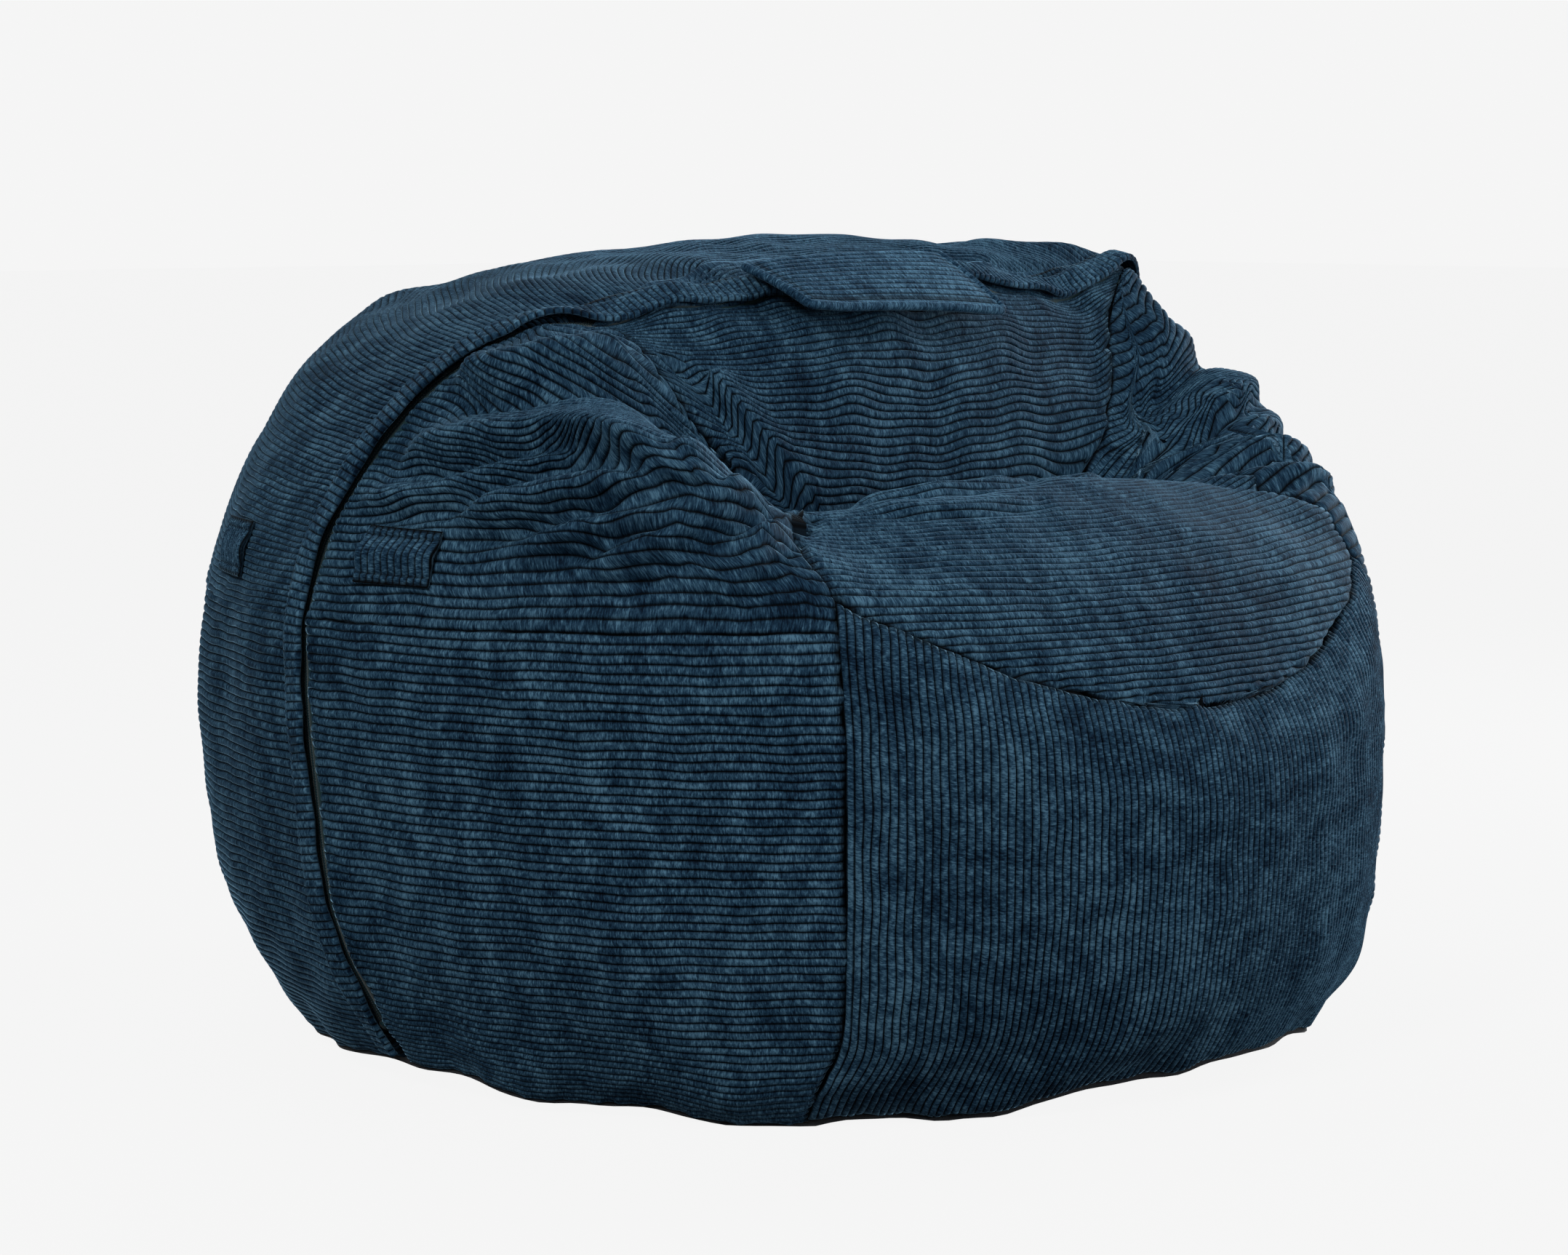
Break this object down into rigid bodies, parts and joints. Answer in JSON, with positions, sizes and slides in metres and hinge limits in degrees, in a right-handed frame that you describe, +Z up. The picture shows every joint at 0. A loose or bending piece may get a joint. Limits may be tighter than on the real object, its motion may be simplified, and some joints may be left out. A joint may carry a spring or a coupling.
{
  "type": "bean bag chair",
  "caption": "Round corduroy bean bag chair with a moulded seat and backrest, a zip-off cover, strap loops, a label flap and a foam-filled inner liner.",
  "frame": {"origin": "centre of the base on the floor", "axes": "+Z up, -Y towards the front of the seat, -X to the sitter's right hand as seen from the front on the left"},
  "size_m": [1.088, 1.0701, 0.7171],
  "materials": {
    "corduroy": "wide-wale corduroy pile, dark teal blue",
    "corduroy_trim": "wide-wale corduroy pile, hemmed and topstitched",
    "base_cloth": "plain woven black base cloth",
    "zip_tape": "woven tape, dark teal",
    "zip_coil": "nylon coil, satin",
    "slider_metal": "dark nickel",
    "flap_wadding": "polyester wadding",
    "liner_cloth": "plain woven polyester cotton, off-white",
    "liner_tape": "woven tape, off-white",
    "liner_coil": "nylon coil, off-white",
    "foam": "shredded polyurethane foam"
  },
  "bodies": {
    "bag": {"base_panel": "base_cloth", "front_panel": "corduroy", "seat_panel": "corduroy", "backrest_panel": "corduroy", "left_arm_panel": "corduroy", "right_arm_panel": "corduroy", "left_side_panel": "corduroy", "right_side_panel": "corduroy", "back_upper_panel": "corduroy", "back_lower_panel": "corduroy", "zipper_placket": "corduroy_trim", "strap_loop_front_left": "corduroy_trim", "strap_loop_front_right": "corduroy_trim", "strap_loop_rear_left": "corduroy_trim", "strap_loop_rear_right": "corduroy_trim", "zipper_tape_front": "zip_tape", "zipper_tape_rear": "zip_tape", "zipper_coil_front": "zip_coil", "zipper_coil_rear": "zip_coil", "zipper_end_stop_left": "zip_coil", "zipper_end_stop_right": "zip_coil", "liner_base": "liner_cloth", "liner_lower": "liner_cloth", "liner_upper": "liner_cloth", "liner_zipper_tape": "liner_tape", "liner_zipper_coil": "liner_coil", "liner_zipper_slider": "slider_metal", "foam_fill": "foam"},
    "zip_slider": {"zipper_slider": "slider_metal"},
    "pull_tab": {"zipper_pull_tab": "slider_metal"},
    "flap": {"label_flap_face": "corduroy_trim", "label_flap_backing": "base_cloth", "label_flap_padding": "flap_wadding", "label_flap_binding": "corduroy_trim"}
  },
  "joints": [
    {"name": "zip_slide", "type": "slide", "parent": "bag", "child": "zip_slider", "axis": [0.1256, 0.1273, 0.9839], "range_m": [0, 0.06]},
    {"name": "pull_tab_swing", "type": "hinge", "parent": "zip_slider", "child": "pull_tab", "pos_m": [0.53263, 0.01285, 0.14718], "axis": [0.0241, -0.9918, 0.1253], "range_deg": [0, 150]},
    {"name": "flap_lift", "type": "hinge", "parent": "bag", "child": "flap", "pos_m": [0, -0.09, 0.684], "axis": [-1, 0, 0], "range_deg": [0, 75]}
  ]
}
